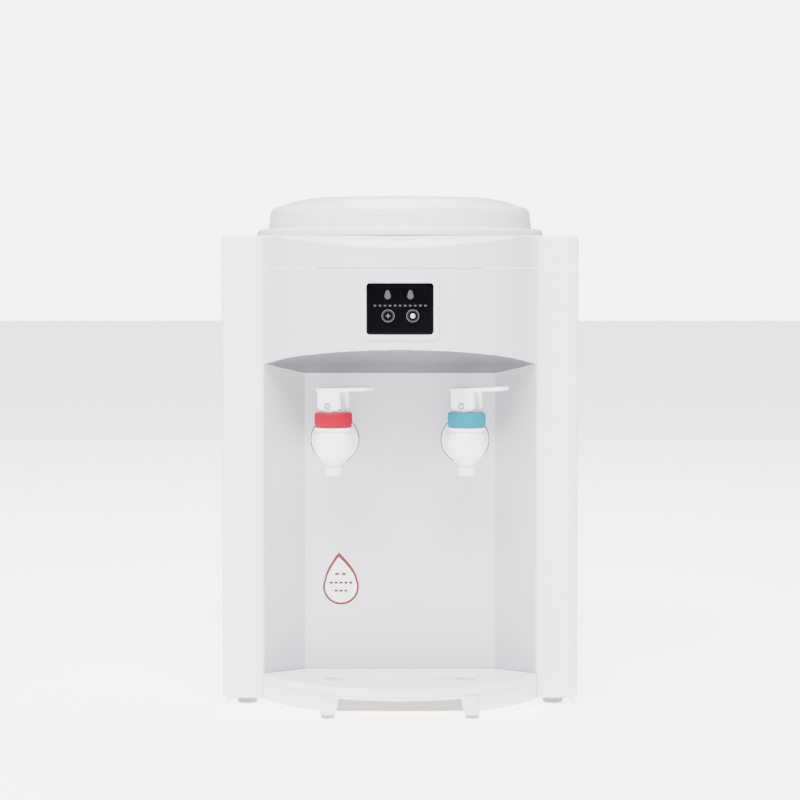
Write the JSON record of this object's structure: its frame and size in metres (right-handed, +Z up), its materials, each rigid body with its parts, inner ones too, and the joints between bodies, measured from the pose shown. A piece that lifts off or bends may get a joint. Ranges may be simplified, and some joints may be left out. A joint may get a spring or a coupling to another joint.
{
  "type": "countertop water dispenser",
  "caption": "White countertop water dispenser with a bowed front, a bottle seat on top, hot and ambient push-lever taps, a drip tray and a dark display window.",
  "frame": {"origin": "on the counter, at the centre of the outline's length and width", "axes": "+Z up, +X to the right seen from the front, +Y from the front to the back; the taps and the bowed front face -Y"},
  "size_m": [0.29, 0.303, 0.4154],
  "materials": {
    "casing_white": "satin moulded ABS, faintly cool white",
    "panel_white": "satin moulded ABS, a shade greyer than the casing",
    "painted_sheet": "white powder coat on sheet steel",
    "tray_white": "satin polypropylene",
    "tap_white": "gloss moulded plastic",
    "hot_red": "gloss coral red plastic",
    "cold_blue": "gloss cyan plastic",
    "display_black": "polished black acrylic",
    "circuit_board": "green solder mask",
    "rubber": "matte dark rubber",
    "silicone": "translucent white silicone",
    "steel": "plain stainless steel",
    "foam": "cream polyurethane foam",
    "switch_red": "gloss red plastic",
    "switch_black": "black nylon"
  },
  "bodies": {
    "cabinet": {"base": "tray_white", "side_panel_left": "casing_white", "side_panel_right": "casing_white", "back_cover": "painted_sheet", "top_cover": "casing_white", "front_panel": "panel_white", "display_bezel": "panel_white", "display_window": "display_black", "indicator_board": "circuit_board", "seat_gasket": "silicone", "reservoir": "tray_white", "hot_tank": "steel", "hot_tank_jacket": "foam", "heating_element": "steel", "control_thermostat": "steel", "safety_thermostat": "steel", "cold_hose": "silicone", "feed_hose": "silicone", "hot_hose": "silicone", "drain_hose": "silicone", "hot_tap_body": "tap_white", "hot_tap_collar": "hot_red", "hot_tap_escutcheon": "tap_white", "hot_tap_nut": "tap_white", "hot_lever_washer": "tap_white", "cold_tap_body": "tap_white", "cold_tap_collar": "cold_blue", "cold_tap_escutcheon": "tap_white", "cold_tap_nut": "tap_white", "cold_lever_washer": "tap_white", "front_foot_left": "rubber", "front_foot_right": "rubber", "side_foot_left": "rubber", "side_foot_right": "rubber", "rear_foot_left": "rubber", "rear_foot_right": "rubber", "switch_housing": "switch_black", "drain_spigot": "tap_white", "cord_gland": "switch_black", "back_screw_lower_left": "steel", "back_screw_upper_left": "steel", "back_screw_lower_right": "steel", "back_screw_upper_right": "steel"},
    "hot_valve": {"hot_tap_stem": "tap_white", "hot_valve_plug": "silicone", "hot_lever_pin": "steel"},
    "hot_handle": {"hot_lever": "tap_white"},
    "cold_valve": {"cold_tap_stem": "tap_white", "cold_valve_plug": "silicone", "cold_lever_pin": "steel"},
    "cold_handle": {"cold_lever": "tap_white"},
    "tray": {"drip_tray": "tray_white"},
    "grille": {"drip_grille": "tray_white"},
    "seat": {"bottle_seat": "casing_white", "bottle_probe": "tap_white"},
    "rocker": {"switch_rocker": "switch_red"},
    "cap": {"drain_cap": "tap_white"}
  },
  "joints": [
    {"name": "hot_valve_lift", "type": "slide", "parent": "cabinet", "child": "hot_valve", "axis": [0, 0, 1], "range_m": [0, 0.00198], "stiffness_N_per_m": 5000, "springref_m": -0.001},
    {"name": "hot_lever_press", "type": "hinge", "parent": "hot_valve", "child": "hot_handle", "pos_m": [-0.0534, -0.108, 0.246], "axis": [0.5, 0.866, 0], "range_deg": [0, 15]},
    {"name": "cold_valve_lift", "type": "slide", "parent": "cabinet", "child": "cold_valve", "axis": [0, 0, 1], "range_m": [0, 0.00198], "stiffness_N_per_m": 5000, "springref_m": -0.001},
    {"name": "cold_lever_press", "type": "hinge", "parent": "cold_valve", "child": "cold_handle", "pos_m": [0.0534, -0.108, 0.246], "axis": [0.5, 0.866, 0], "range_deg": [0, 15]},
    {"name": "tray_lift", "type": "slide", "parent": "cabinet", "child": "tray", "axis": [0, 0, 1], "range_m": [0, 0.08]},
    {"name": "grille_lift", "type": "slide", "parent": "tray", "child": "grille", "axis": [0, 0, 1], "range_m": [0, 0.05]},
    {"name": "seat_lift", "type": "slide", "parent": "cabinet", "child": "seat", "axis": [0, 0, 1], "range_m": [0, 0.12]},
    {"name": "rocker_flip", "type": "hinge", "parent": "cabinet", "child": "rocker", "pos_m": [0.095, 0.144, 0.3], "axis": [1, 0, 0], "range_deg": [-24, 0]},
    {"name": "cap_turn", "type": "hinge", "parent": "cabinet", "child": "cap", "pos_m": [0, 0.147, 0.04], "axis": [0, 1, 0], "continuous": true}
  ],
  "couplings": [
    {"joint": "hot_lever_press", "follows": "hot_valve_lift", "rad_per_m": 131.58},
    {"joint": "cold_lever_press", "follows": "cold_valve_lift", "rad_per_m": 131.58}
  ]
}
